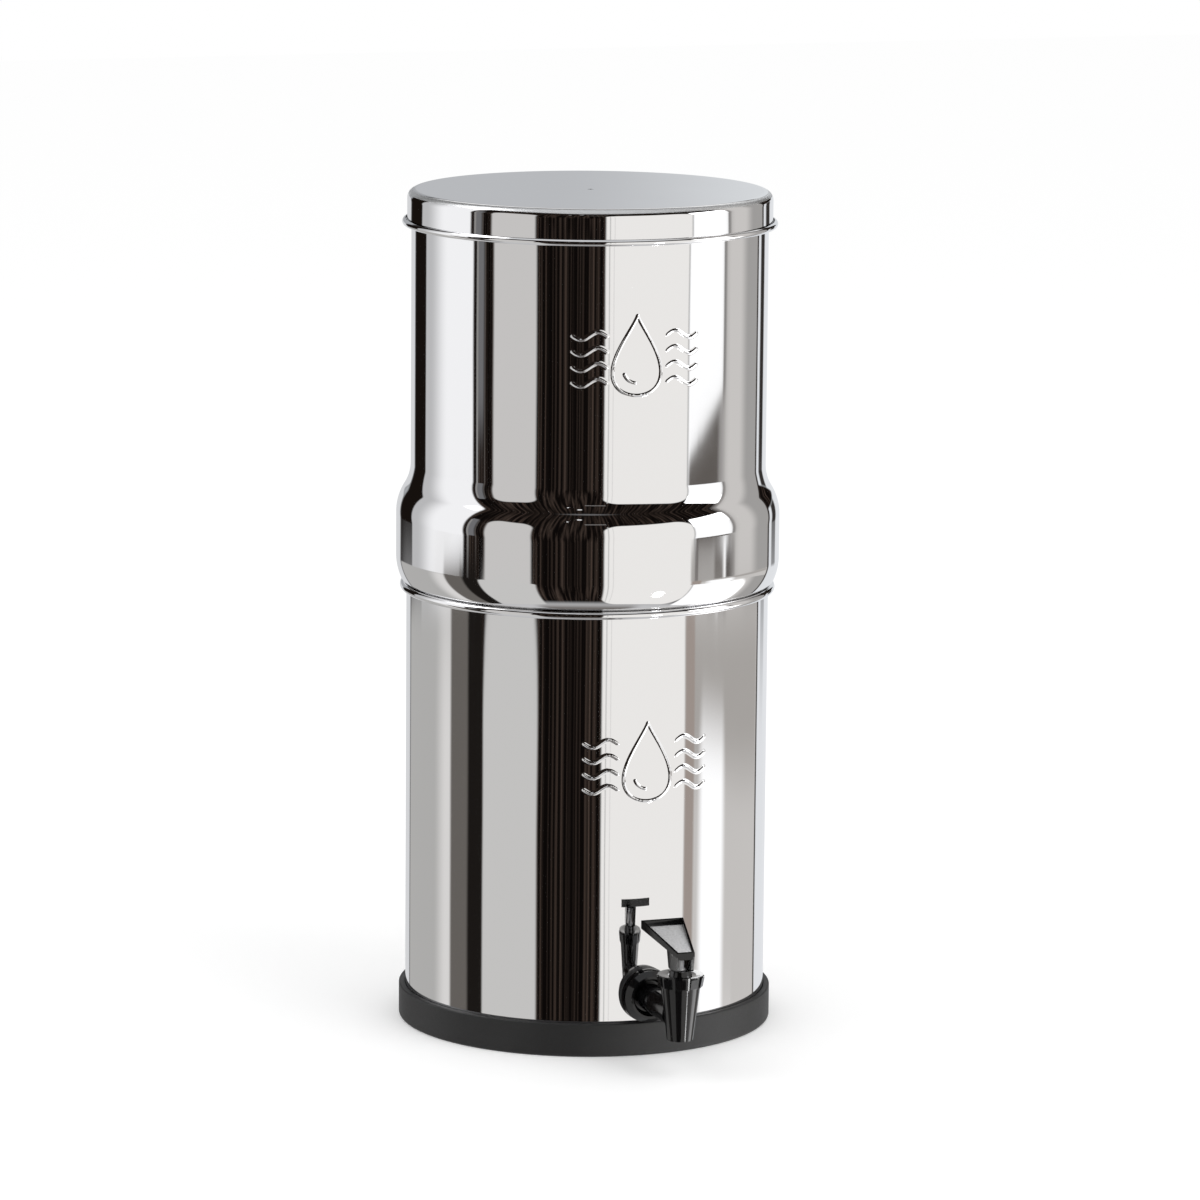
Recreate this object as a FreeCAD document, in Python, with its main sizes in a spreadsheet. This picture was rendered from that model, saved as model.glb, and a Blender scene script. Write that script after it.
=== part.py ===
import FreeCAD, Part
import Sketcher
import math
import os

# Gravity water filter with a lever tap: two stacked stainless vessels, a lid and a rubber base ring.
# Millimetres, +Z up. The origin is on the vessels' axis at the table, and the tap points along -Y.

SIZES = {
    # stainless sheet and the gaps between loose pieces
    "steel_wall": 0.8,
    "rest_gap": 0.3,
    "thread_gap": 0.1,
    # rubber base ring
    "ring_height": 18.9,
    "ring_wall": 3.35,
    "ring_lip": 3.0,
    "ring_reach": 16.0,
    "ring_slack": 0.25,
    "ring_foot_round": 1.8,
    "ring_top_round": 0.8,
    # lower vessel
    "lower_radius": 102.1,
    "lower_foot_round": 5.0,
    "bead_height": 248.7,
    "bead_round": 2.25,
    # upper vessel, from its plug in the lower mouth up to its hemmed rim
    "mouth_gap": 0.5,
    "plug_depth": 13.25,
    "plug_round": 3.5,
    "shelf_round": 0.7,
    "flare_overhang": 5.9,
    "flare_foot_round": 3.0,
    "flare_low_round": 31.5,
    "flare_foot_height": 14.75,
    "flare_band": 24.0,
    "shoulder_height": 28.2,
    "shoulder_share": 0.47,
    "shoulder_step": 8.1,
    "headroom": 21.86,
    "hem_gap": 0.05,
    "hem_depth": 4.0,
    # lid
    "lid_slack": 1.6,
    "lid_round": 5.0,
    "lid_depth": 18.1,
    "lid_bead_round": 1.8,
    "knob_hole_radius": 1.6,
    # filter elements, their bases and the blanking plugs, all on one circle of holes
    "port_circle": 50.0,
    "stem_radius": 5.8,
    "stem_slack": 0.45,
    "stem_bore": 2.5,
    "stem_drop": 20.0,
    "element_radius": 35.0,
    "element_height": 200.0,
    "element_core": 11.0,
    "element_cap": 16.0,
    "element_round": 7.0,
    "base_wall": 1.6,
    "base_height": 12.0,
    "base_cup": 6.0,
    "seal_height": 3.0,
    "seal_radius": 15.0,
    "wing_hub_radius": 10.0,
    "wing_hub_height": 9.0,
    "wing_span": 44.0,
    "wing_width": 5.0,
    "wing_height": 7.0,
    "plug_head_radius": 12.0,
    "plug_head_height": 4.0,
    "plug_drop": 12.0,
    "plug_seal_radius": 11.0,
    "plug_nut_radius": 10.5,
    "plug_nut_height": 6.0,
    # tap: shank, flange and neck along the horizontal axis
    "tap_over_ring": 0.4,
    "tap_reach": 56.0,
    "shank_radius": 9.2,
    "shank_hole_gap": 0.4,
    "shank_length": 24.0,
    "shank_bore": 5.5,
    "port_bore": 3.2,
    "flange_seal_proud": 0.1,
    "flange_seal_height": 3.0,
    "flange_radius": 15.1,
    "flange_step": 2.4,
    "flange_taper": 3.0,
    "flange_lip_radius": 12.0,
    "dish_radius": 10.6,
    "dish_floor_radius": 8.8,
    "dish_depth": 4.6,
    "neck_radius": 7.8,
    "lug_width": 5.4,
    "lug_height": 2.2,
    "lug_length": 9.0,
    "inner_seal_radius": 13.5,
    "inner_seal_height": 2.4,
    "nut_flats": 27.0,
    "nut_height": 8.0,
    # tap: valve barrel, bonnet, cup and stem, measured up and down from the shank's axis
    "spout_drop": 12.7,
    "spout_radius": 7.2,
    "spout_bore": 4.3,
    "seat_drop": 3.9,
    "barrel_rise": 17.0,
    "spigot_wall": 2.2,
    "spigot_step": 1.7,
    "bonnet_wall": 2.3,
    "bonnet_taper": 1.0,
    "bonnet_roof": 1.1,
    "bonnet_height": 7.1,
    "bonnet_dish": 1.0,
    "bonnet_rim": 1.2,
    "boss_radius": 6.4,
    "boss_top_radius": 5.6,
    "boss_rise": 3.1,
    "grip_count": 10,
    "grip_width": 5.0,
    "grip_proud": 0.5,
    "grip_height": 5.4,
    "cup_radius": 5.4,
    "cup_waist": 4.6,
    "cup_wall": 1.2,
    "cup_foot": 4.5,
    "cup_flange": 6.4,
    "cup_flange_height": 1.4,
    "valve_stem_radius": 2.0,
    "valve_foot_radius": 2.9,
    "valve_foot_height": 3.0,
    "stem_skirt_radius": 3.0,
    "stem_skirt_height": 1.4,
    "eye_round": 1.9,
    "eye_gap": 0.4,
    # tap: lever and hinge pin, measured from the pin's centre
    "heel_height": 8.6,
    "pin_radius": 1.0,
    "pin_gap": 0.06,
    "fork_width": 10.4,
    "cheek_width": 1.8,
    "cheek_front": 8.0,
    "cheek_back": 9.0,
    "cheek_heel_front": 6.8,
    "cheek_heel_back": 5.5,
    "heel_round": 0.8,
    "blade_front_rise": 2.2,
    "blade_length": 38.0,
    "blade_back_rise": 13.1,
    "blade_front_depth": 2.4,
    "blade_back_depth": 4.6,
    "blade_width": 24.6,
    "rim_width": 1.3,
    "panel_sink": 3.4,
    "panel_front_sink": 0.2,
    "web_depth": 3.9,
    "web_width": 1.4,
}

doc = FreeCAD.newDocument("gravity_water_filter")
sheet = doc.addObject("Spreadsheet::Sheet", "dim")
for row, (alias, size) in enumerate(SIZES.items(), start=1):
    sheet.set(f"A{row}", alias)
    sheet.set(f"B{row}", str(size))
    sheet.setAlias(f"B{row}", alias)
doc.recompute()

# Heights and radii that several pieces share, worked out from the sheet
LOWER_INNER = "(dim.lower_radius - dim.steel_wall)"
RING_SEAT = "(dim.lower_radius + dim.ring_slack)"
RING_RADIUS = f"({RING_SEAT} + dim.ring_wall)"
SHELF = "(dim.bead_height + dim.bead_round + dim.rest_gap)"
FLOOR = f"({SHELF} - dim.plug_depth)"
FLOOR_TOP = f"({FLOOR} + dim.steel_wall)"
PLUG_INNER = f"({LOWER_INNER} - dim.mouth_gap - dim.steel_wall)"
FLARE_RADIUS = "(dim.lower_radius + dim.flare_overhang)"
FLARE_LOW = f"({SHELF} + dim.flare_foot_height)"
FLARE_HIGH = f"({FLARE_LOW} + dim.flare_band)"
UPPER_RADIUS = f"({FLARE_RADIUS} - dim.shoulder_step)"
BASE_UNDER = f"({FLOOR_TOP} + dim.seal_height)"
ELEMENT_FOOT = f"({BASE_UNDER} + dim.base_height - dim.base_cup)"
ELEMENT_TOP = f"({ELEMENT_FOOT} + dim.element_height)"
RIM = f"({ELEMENT_TOP} + dim.headroom)"
LID_INNER = f"({UPPER_RADIUS} + dim.lid_slack)"
LID_CORNER = "(dim.lid_round - dim.steel_wall)"
HEM = "(dim.steel_wall + dim.hem_gap)"
# the lid's rounded corner rests on the round top of the upper vessel's hem
HEM_INSET = f"({UPPER_RADIUS} - dim.steel_wall + {HEM} - {LID_INNER} + {LID_CORNER})"
HEM_REACH = f"({LID_CORNER} - {HEM} - dim.rest_gap)"
LID_UNDER = f"({RIM} - {HEM} + {LID_CORNER} - sqrt(max(0; {HEM_REACH}^2 - {HEM_INSET}^2)))"
LID_BEAD = f"({LID_UNDER} + dim.steel_wall - dim.lid_depth)"
FLANGE_SEAL = "(dim.flange_radius + dim.flange_seal_proud)"
TAP_HEIGHT = f"(dim.ring_height + {FLANGE_SEAL} + dim.tap_over_ring)"
VALVE_Y = "-(dim.lower_radius + dim.tap_reach)"
FLANGE_BACK = "dim.flange_seal_height"
FLANGE_STEP_1 = f"({FLANGE_BACK} + dim.flange_step)"
FLANGE_STEP_2 = f"({FLANGE_STEP_1} + dim.flange_step)"
FLANGE_LIP = f"({FLANGE_STEP_2} + dim.flange_taper)"
CHAMBER_RADIUS = "(dim.cup_flange + 2 * dim.rest_gap)"
SPIGOT_RADIUS = f"({CHAMBER_RADIUS} + dim.spigot_wall)"
BONNET_LOW_RADIUS = f"({SPIGOT_RADIUS} + dim.bonnet_wall)"
BONNET_RADIUS = f"({BONNET_LOW_RADIUS} + dim.bonnet_taper)"
SPOUT = f"({TAP_HEIGHT} - dim.spout_drop)"
SEAT = f"({TAP_HEIGHT} - dim.seat_drop)"
BARREL_TOP = f"({TAP_HEIGHT} + dim.barrel_rise)"
BONNET_TOP = f"({BARREL_TOP} + dim.bonnet_height)"
SPIGOT_TOP = f"({BONNET_TOP} - dim.bonnet_dish - dim.bonnet_roof)"
BOSS_TOP = f"({BONNET_TOP} - dim.bonnet_dish + dim.boss_rise)"
PIN = f"({BOSS_TOP} + dim.rest_gap + dim.heel_height)"
FORK_INNER = "(dim.fork_width - 2 * dim.cheek_width)"
EYE_WIDTH = f"({FORK_INNER} - 2 * dim.eye_gap)"

STEPS = {"+x": (1, 0), "-x": (-1, 0), "+y": (0, 1), "-y": (0, -1)}


def number(formula):
    return float(sheet.evalExpression(formula))


def bind(item, **formulas):
    for field, formula in formulas.items():
        item.setExpression(field.replace("__", "."), formula)


def place(item, x="0", y="0", z="0"):
    bind(item, Placement__Base__x=x, Placement__Base__y=y, Placement__Base__z=z)


def along(value, sign, amount):
    if not sign:
        return value
    return f"({value}) {'+' if sign > 0 else '-'} ({amount})"


def corner(x, y, radius, entering, leaving):
    """The two points of a square corner that is rounded, entered and left along the given directions."""
    (ax, ay), (bx, by) = STEPS[entering], STEPS[leaving]
    start = (along(x, -ax, radius), along(y, -ay, radius))
    end = (along(x, bx, radius), along(y, by, radius), ax * by - ay * bx, radius)
    return [start, end]


def arc_between(first, last, turn, radius):
    """The short arc from first to last that bends left for turn +1 and right for turn -1."""
    chord = last - first
    rise = math.sqrt(max(radius**2 - (chord.Length / 2) ** 2, 0.0))
    centre = (first + last) * 0.5 + FreeCAD.Vector(-chord.y, chord.x, 0).normalize() * rise * turn
    start, end = (first, last) if turn > 0 else (last, first)
    angles = [math.atan2(point.y - centre.y, point.x - centre.x) for point in (start, end)]
    if angles[1] < angles[0]:
        angles[1] += 2 * math.pi
    return Part.ArcOfCircle(Part.Circle(centre, FreeCAD.Vector(0, 0, 1), radius), *angles)


def draw(sketch, points, closed=True):
    """Lines and arcs through the points, each held by its own formulas.

    A point is (x, y), or (x, y, turn, radius) when an arc leads to it."""
    spots = [FreeCAD.Vector(number(point[0]), number(point[1]), 0) for point in points]
    legs = list(range(1, len(points))) + ([0] if closed else [])
    edges = []
    for leg in legs:
        first, last, point = spots[leg - 1], spots[leg], points[leg]
        if len(point) == 2:
            edges.append(sketch.addGeometry(Part.LineSegment(first, last)))
            ends = (1, 2)
        else:
            edges.append(sketch.addGeometry(arc_between(first, last, point[2], number(point[3]))))
            ends = (1, 2) if point[2] > 0 else (2, 1)
            held = sketch.addConstraint(Sketcher.Constraint("Radius", edges[-1], number(point[3])))
            sketch.setExpression(f"Constraints[{held}]", point[3])
        hold_point(sketch, edges[-1], ends[1], point, spots[leg])
        if len(edges) > 1:
            join(sketch, edges[-2], before, edges[-1], ends[0])
        else:
            opening = (edges[0], ends[0])
        before = ends[1]
    if closed:
        join(sketch, edges[-1], before, *opening)
    else:
        hold_point(sketch, *opening, points[0], spots[0])
    return sketch


def hold_point(sketch, edge, end, point, spot):
    for kind, value, formula in (("DistanceX", spot.x, point[0]), ("DistanceY", spot.y, point[1])):
        held = sketch.addConstraint(Sketcher.Constraint(kind, -1, 1, edge, end, value))
        sketch.setExpression(f"Constraints[{held}]", formula)


def join(sketch, edge, end, other, other_end):
    sketch.addConstraint(Sketcher.Constraint("Coincident", edge, end, other, other_end))


def upright_sketch(name, points, closed=True):
    """A sketch on the XZ plane: its x is the distance from the axis and its y the height."""
    sketch = doc.addObject("Sketcher::SketchObject", name)
    sketch.Placement = FreeCAD.Placement(FreeCAD.Vector(), FreeCAD.Rotation(FreeCAD.Vector(1, 0, 0), 90))
    return draw(sketch, points, closed)


def body_sketch(body, role, name, points):
    sketch = body.newObject("Sketcher::SketchObject", name)
    plane = [item for item in body.Origin.OriginFeatures if item.Role == role][0]
    sketch.AttachmentSupport = [(plane, "")]
    sketch.MapMode = "FlatFace"
    return draw(sketch, points)


def turned(name, points):
    """A body turned about its own Z axis from one closed outline."""
    body = doc.addObject("PartDesign::Body", name)
    sketch = body_sketch(body, "XZ_Plane", name + "_outline", points)
    spin = body.newObject("PartDesign::Revolution", name + "_turn")
    spin.Profile = sketch
    spin.ReferenceAxis = (sketch, ["V_Axis"])
    spin.Angle = 360
    sketch.Visibility = False
    return body


def sheet_metal(name, path, side):
    """A turned shell of even wall: an open path along its inner face, thickened to one side and revolved."""
    sketch = upright_sketch(name + "_path", path, closed=False)
    doc.recompute()
    band = doc.addObject("Part::Offset2D", name + "_wall")
    band.Source = sketch
    band.Mode = "Skin"
    band.Join = "Intersection"
    band.Fill = True
    bind(band, Value=f"{side} * dim.steel_wall")
    shell = doc.addObject("Part::Revolution", name + "_shell")
    shell.Source = band
    shell.Axis = FreeCAD.Vector(0, 0, 1)
    shell.Base = FreeCAD.Vector()
    shell.Angle = 360
    shell.Solid = True
    return shell


def rod(name, radius, height, x="0", y="0", z="0", toward=None):
    """A cylinder from (x, y, z) along +Z, or along -Y when toward is "front"."""
    item = doc.addObject("Part::Cylinder", name)
    if toward == "front":
        item.Placement.Rotation = FreeCAD.Rotation(FreeCAD.Vector(1, 0, 0), 90)
    if toward == "side":
        item.Placement.Rotation = FreeCAD.Rotation(FreeCAD.Vector(0, 1, 0), 90)
    bind(item, Radius=radius, Height=height)
    place(item, x, y, z)
    return item


def block(name, length, width, height, x="0", y="0", z="0"):
    item = doc.addObject("Part::Box", name)
    bind(item, Length=length, Width=width, Height=height)
    place(item, x, y, z)
    return item


def joined(name, *items):
    item = doc.addObject("Part::MultiFuse", name)
    item.Shapes = list(items)
    item.Refine = False
    return item


def shared(name, first, second):
    item = doc.addObject("Part::MultiCommon", name)
    item.Shapes = [first, second]
    return item


def cut(name, base, tool):
    item = doc.addObject("Part::Cut", name)
    item.Base = base
    item.Tool = tool
    return item


def slab(name, sketch, length):
    """A sketch pushed out by half of length to each side of its plane."""
    item = doc.addObject("Part::Extrusion", name)
    item.Base = sketch
    item.DirMode = "Normal"
    item.Symmetric = True
    item.Solid = True
    bind(item, LengthFwd=length)
    return item


def front_facing(item):
    """Turns a piece made along +Z so that it points out of the vessel, along -Y, at the tap's height."""
    item.Placement.Rotation = FreeCAD.Rotation(FreeCAD.Vector(1, 0, 0), 90)
    place(item, y="-dim.lower_radius", z=TAP_HEIGHT)
    return item


# Vessels, lid and base ring

def rubber_base():
    return turned("rubber_base", [
        ("dim.lower_radius - dim.ring_reach", "0"),
        *corner(RING_RADIUS, "0", "dim.ring_foot_round", "+x", "+y"),
        *corner(RING_RADIUS, "dim.ring_height", "dim.ring_top_round", "+y", "-x"),
        (RING_SEAT, "dim.ring_height"),
        (RING_SEAT, "dim.ring_lip"),
        ("dim.lower_radius - dim.ring_reach", "dim.ring_lip"),
    ])


def curl(inner, height, radius, rising):
    """A bead rolled outwards from the inner face over the sheet's edge, upwards or, on a lid, downwards."""
    turn, way = (-1, 1) if rising else (1, -1)
    return [
        (inner, height),
        (f"{inner} + {radius}", along(height, way, radius), turn, radius),
        (f"{inner} + 2 * {radius}", height, turn, radius),
        (f"{inner} + {radius}", along(height, -way, radius), turn, radius),
    ]


def lower_chamber():
    floor = "(dim.ring_lip + dim.steel_wall)"
    path = [("0", floor)]
    path += corner(LOWER_INNER, floor, "(dim.lower_foot_round - dim.steel_wall)", "+x", "+y")
    path += curl(LOWER_INNER, "dim.bead_height", "dim.bead_round", True)
    shell = sheet_metal("lower", path, -1)
    hole = rod("tap_hole", "dim.shank_radius + dim.shank_hole_gap", "2 * dim.tap_reach",
               y="-dim.lower_radius + dim.tap_reach", z=TAP_HEIGHT, toward="front")
    return cut("lower_chamber", shell, hole)


def upper_chamber():
    swing = "(dim.flare_low_round - dim.flare_foot_round)"
    low_sine = f"((dim.flare_foot_height - dim.flare_foot_round) / {swing})"
    low_cosine = f"sqrt(1 - {low_sine}^2)"
    foot_x = f"({FLARE_RADIUS} - dim.flare_low_round + {swing} * {low_cosine})"
    foot_z = f"({SHELF} + dim.flare_foot_round)"
    foot_inner = "(dim.flare_foot_round - dim.steel_wall)"
    drop, step = "dim.shoulder_height", "dim.shoulder_step"
    rounds = f"(({drop}^2 + {step}^2) / (2 * {step}))"
    share = f"(dim.shoulder_share + dim.steel_wall / {rounds})"
    flare, body = f"({FLARE_RADIUS} - dim.steel_wall)", f"({UPPER_RADIUS} - dim.steel_wall)"
    path = [("0", FLOOR_TOP)]
    path += corner(PLUG_INNER, FLOOR_TOP, "(dim.plug_round - dim.steel_wall)", "+x", "+y")
    path += corner(PLUG_INNER, f"{SHELF} + dim.steel_wall", "(dim.shelf_round + dim.steel_wall)", "+y", "+x")
    path += [
        (foot_x, f"{SHELF} + dim.steel_wall"),
        (f"{foot_x} + {foot_inner} * {low_cosine}", f"{foot_z} - {foot_inner} * {low_sine}", 1, foot_inner),
        (flare, FLARE_LOW, 1, "(dim.flare_low_round - dim.steel_wall)"),
        (flare, FLARE_HIGH),
        (f"{flare} - {step} * (1 - {share})", f"{FLARE_HIGH} + {drop} * (1 - {share})", 1,
         f"{rounds} * (1 - {share})"),
        (body, f"{FLARE_HIGH} + {drop}", -1, f"{rounds} * {share}"),
        (body, f"{RIM} - {HEM}"),
        (f"{body} + {HEM}", RIM, -1, HEM),
        (f"{body} + 2 * {HEM}", f"{RIM} - {HEM}", -1, HEM),
        (f"{body} + 2 * {HEM}", f"{RIM} - {HEM} - dim.hem_depth"),
    ]
    shell = sheet_metal("upper", path, -1)
    holes = [rod(f"port_hole_{number}", "dim.stem_radius + dim.stem_slack", "2 * dim.plug_depth",
                 x=x, y=y, z=f"{FLOOR} - dim.plug_depth")
             for number, (x, y) in enumerate(PORTS, start=1)]
    return cut("upper_chamber", shell, joined("port_holes", *holes))


def lid():
    path = [("dim.knob_hole_radius", LID_UNDER)]
    path += corner(LID_INNER, LID_UNDER, LID_CORNER, "+x", "-y")
    path += curl(LID_INNER, LID_BEAD, "dim.lid_bead_round", False)
    shell = sheet_metal("lid_sheet", path, 1)
    shell.Label = "lid"
    return shell


# Filter elements and blanking plugs through the upper vessel's floor

PORTS = [
    ("dim.port_circle", "0"),
    ("-dim.port_circle", "0"),
    ("0", "dim.port_circle"),
    ("0", "-dim.port_circle"),
]


def ring(name, inner, outer, low, high, x, y):
    body = turned(name, [(inner, low), (outer, low), (outer, high), (inner, high)])
    place(body, x, y)
    return body


def filter_stack(side, x, y):
    """One element on its base, with the seal above the floor and the wing nut below it."""
    element = turned(f"filter_element_{side}", [
        ("dim.element_core", ELEMENT_FOOT),
        ("dim.element_radius", ELEMENT_FOOT),
        *corner("dim.element_radius", ELEMENT_TOP, "dim.element_round", "+y", "-x"),
        ("0", ELEMENT_TOP),
        ("0", f"{ELEMENT_TOP} - dim.element_cap"),
        ("dim.element_core", f"{ELEMENT_TOP} - dim.element_cap"),
    ])
    cup = "(dim.element_radius + dim.base_wall)"
    rim = f"({BASE_UNDER} + dim.base_height)"
    stem_end = f"({FLOOR} - dim.stem_drop)"
    base = turned(f"filter_base_{side}", [
        ("dim.stem_bore", stem_end),
        ("dim.stem_radius", stem_end),
        ("dim.stem_radius", BASE_UNDER),
        (cup, BASE_UNDER),
        (cup, rim),
        ("dim.element_radius + dim.ring_slack", rim),
        ("dim.element_radius + dim.ring_slack", ELEMENT_FOOT),
        ("dim.stem_bore", ELEMENT_FOOT),
    ])
    for body in (element, base):
        place(body, x, y)
    seal = ring(f"filter_seal_{side}", "dim.stem_radius + dim.thread_gap", "dim.seal_radius",
                FLOOR_TOP, BASE_UNDER, x, y)
    return [element, base, seal, wing_nut(side, x, y)]


def wing_nut(side, x, y):
    name = f"filter_wing_nut_{side}"
    bore = "(dim.stem_radius + dim.thread_gap)"
    body = turned(name, [
        (bore, f"{FLOOR} - dim.wing_hub_height"),
        ("dim.wing_hub_radius", f"{FLOOR} - dim.wing_hub_height"),
        ("dim.wing_hub_radius", FLOOR),
        (bore, FLOOR),
    ])
    wing_low = f"{FLOOR} - dim.wing_hub_height"
    wings = []
    for word, way in (("right", 1), ("left", -1)):
        root, tip = f"{way} * (dim.wing_hub_radius - 1)", f"{way} * dim.wing_span / 2"
        sketch = body_sketch(body, "XZ_Plane", f"{name}_{word}_wing", [
            (root, wing_low), (tip, f"{wing_low} - dim.wing_height / 4"),
            (tip, f"{wing_low} + dim.wing_height * 3 / 4"), (root, f"{wing_low} + dim.wing_height"),
        ])
        pad = body.newObject("PartDesign::Pad", f"{name}_{word}_pad")
        pad.Profile = sketch
        pad.SideType = "Symmetric"
        bind(pad, Length="dim.wing_width")
        wings.append(pad)
    body.Tip = wings[-1]
    place(body, x, y)
    return body


def blanking_plug(side, x, y):
    """A plug in a hole that has no element, with its seal above the floor and its round nut below."""
    head = f"({FLOOR_TOP} + dim.seal_height)"
    plug = turned(f"blanking_plug_{side}", [
        ("0", f"{FLOOR} - dim.plug_drop"),
        ("dim.stem_radius", f"{FLOOR} - dim.plug_drop"),
        ("dim.stem_radius", head),
        ("dim.plug_head_radius", head),
        ("dim.plug_head_radius", f"{head} + dim.plug_head_height"),
        ("0", f"{head} + dim.plug_head_height"),
    ])
    place(plug, x, y)
    bore = "dim.stem_radius + dim.thread_gap"
    seal = ring(f"plug_seal_{side}", bore, "dim.plug_seal_radius", FLOOR_TOP, head, x, y)
    nut = ring(f"plug_nut_{side}", bore, "dim.plug_nut_radius", f"{FLOOR} - dim.plug_nut_height", FLOOR, x, y)
    return [plug, seal, nut]


# Tap

def tap_body():
    """Shank, flange and neck in one moulding with the valve barrel, bored from the vessel to the spout."""
    across = "(dim.tap_reach - dim.spout_radius)"
    horizontal = front_facing(turned("tap_shank", [
        ("0", "-dim.shank_length"),
        ("dim.shank_radius", "-dim.shank_length"),
        ("dim.shank_radius", FLANGE_BACK),
        ("dim.flange_radius", FLANGE_BACK),
        ("dim.flange_radius", FLANGE_STEP_1),
        ("dim.flange_radius - dim.grip_proud", FLANGE_STEP_1),
        ("dim.flange_radius - dim.grip_proud", FLANGE_STEP_2),
        ("dim.flange_lip_radius", FLANGE_LIP),
        ("dim.dish_radius", FLANGE_LIP),
        ("dim.dish_floor_radius", f"{FLANGE_LIP} - dim.dish_depth"),
        ("dim.neck_radius", f"{FLANGE_LIP} - dim.dish_depth"),
        ("dim.neck_radius", across),
        ("0", across),
    ]))
    barrel = turned("tap_barrel", [
        ("0", SPOUT),
        ("dim.spout_radius", SPOUT),
        (f"{SPIGOT_RADIUS} + dim.spigot_step", BARREL_TOP),
        (SPIGOT_RADIUS, BARREL_TOP),
        (SPIGOT_RADIUS, SPIGOT_TOP),
        ("0", SPIGOT_TOP),
    ])
    lug_reach = "(dim.neck_radius + dim.lug_height)"
    lug = block("tap_lug", lug_reach, "dim.lug_length", "dim.lug_width",
                y=f"-dim.lower_radius - {FLANGE_LIP} - dim.lug_length", z=f"{TAP_HEIGHT} - dim.lug_width / 2")
    solid = joined("tap_solid", horizontal, barrel, lug)
    deep = f"(dim.shank_length + dim.tap_reach - {CHAMBER_RADIUS})"
    bores = joined(
        "tap_bores",
        rod("shank_passage", "dim.shank_bore", f"dim.shank_length + {FLANGE_LIP}",
            y="-dim.lower_radius + dim.shank_length", z=TAP_HEIGHT, toward="front"),
        rod("valve_port", "dim.port_bore", f"{deep} + {CHAMBER_RADIUS} / 2",
            y="-dim.lower_radius + dim.shank_length", z=TAP_HEIGHT, toward="front"),
        rod("valve_chamber", CHAMBER_RADIUS, f"{SPIGOT_TOP} - {SEAT} + 1",
            y=VALVE_Y, z=SEAT),
        rod("spout_passage", "dim.spout_bore", f"{SEAT} - {SPOUT} + 2",
            y=VALVE_Y, z=f"{SPOUT} - 1"),
    )
    place(barrel, y=VALVE_Y)
    return cut("tap_body", solid, bores)


def vessel_rod(name, radius):
    return rod(name, radius, f"2 * {TAP_HEIGHT} + 2 * dim.nut_flats", z="-dim.nut_flats")


def tap_seals_and_nut():
    """The seals follow the round wall where they meet it, and are flat towards the flange and the nut."""
    outer_ring = front_facing(turned("outer_seal_ring", [
        ("dim.shank_radius + dim.thread_gap", "-dim.flange_seal_height"),
        (FLANGE_SEAL, "-dim.flange_seal_height"),
        (FLANGE_SEAL, FLANGE_BACK),
        ("dim.shank_radius + dim.thread_gap", FLANGE_BACK),
    ]))
    outer = cut("tap_outer_seal", outer_ring, vessel_rod("outer_wall", "dim.lower_radius"))
    nut_face = "-(dim.steel_wall + dim.inner_seal_height)"
    inner_ring = front_facing(turned("inner_seal_ring", [
        ("dim.shank_radius + dim.thread_gap", nut_face),
        ("dim.inner_seal_radius", nut_face),
        ("dim.inner_seal_radius", "0"),
        ("dim.shank_radius + dim.thread_gap", "0"),
    ]))
    inner = shared("tap_inner_seal", inner_ring, vessel_rod("inner_wall", LOWER_INNER))
    nut = doc.addObject("PartDesign::Body", "tap_nut")
    half, side = "dim.nut_flats / 2", "dim.nut_flats / sqrt(3)"
    outline = [(side, "0"), (f"{side} / 2", half), (f"-{side} / 2", half), (f"-{side}", "0"),
               (f"-{side} / 2", f"-{half}"), (f"{side} / 2", f"-{half}")]
    sketch = body_sketch(nut, "XY_Plane", "nut_outline", outline)
    circle = Part.Circle(FreeCAD.Vector(), FreeCAD.Vector(0, 0, 1), number("dim.shank_radius"))
    bore = sketch.addGeometry(circle)
    sketch.addConstraint(Sketcher.Constraint("Coincident", bore, 3, -1, 1))
    held = sketch.addConstraint(Sketcher.Constraint("Radius", bore, number("dim.shank_radius")))
    sketch.setExpression(f"Constraints[{held}]", "dim.shank_radius + dim.thread_gap")
    pad = nut.newObject("PartDesign::Pad", "nut_pad")
    pad.Profile = sketch
    bind(pad, Length="dim.nut_height")
    nut.Placement.Rotation = FreeCAD.Rotation(FreeCAD.Vector(1, 0, 0), 90)
    place(nut, y=f"-{LOWER_INNER} + dim.inner_seal_height + dim.nut_height", z=TAP_HEIGHT)
    return [outer, inner, nut]


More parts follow.
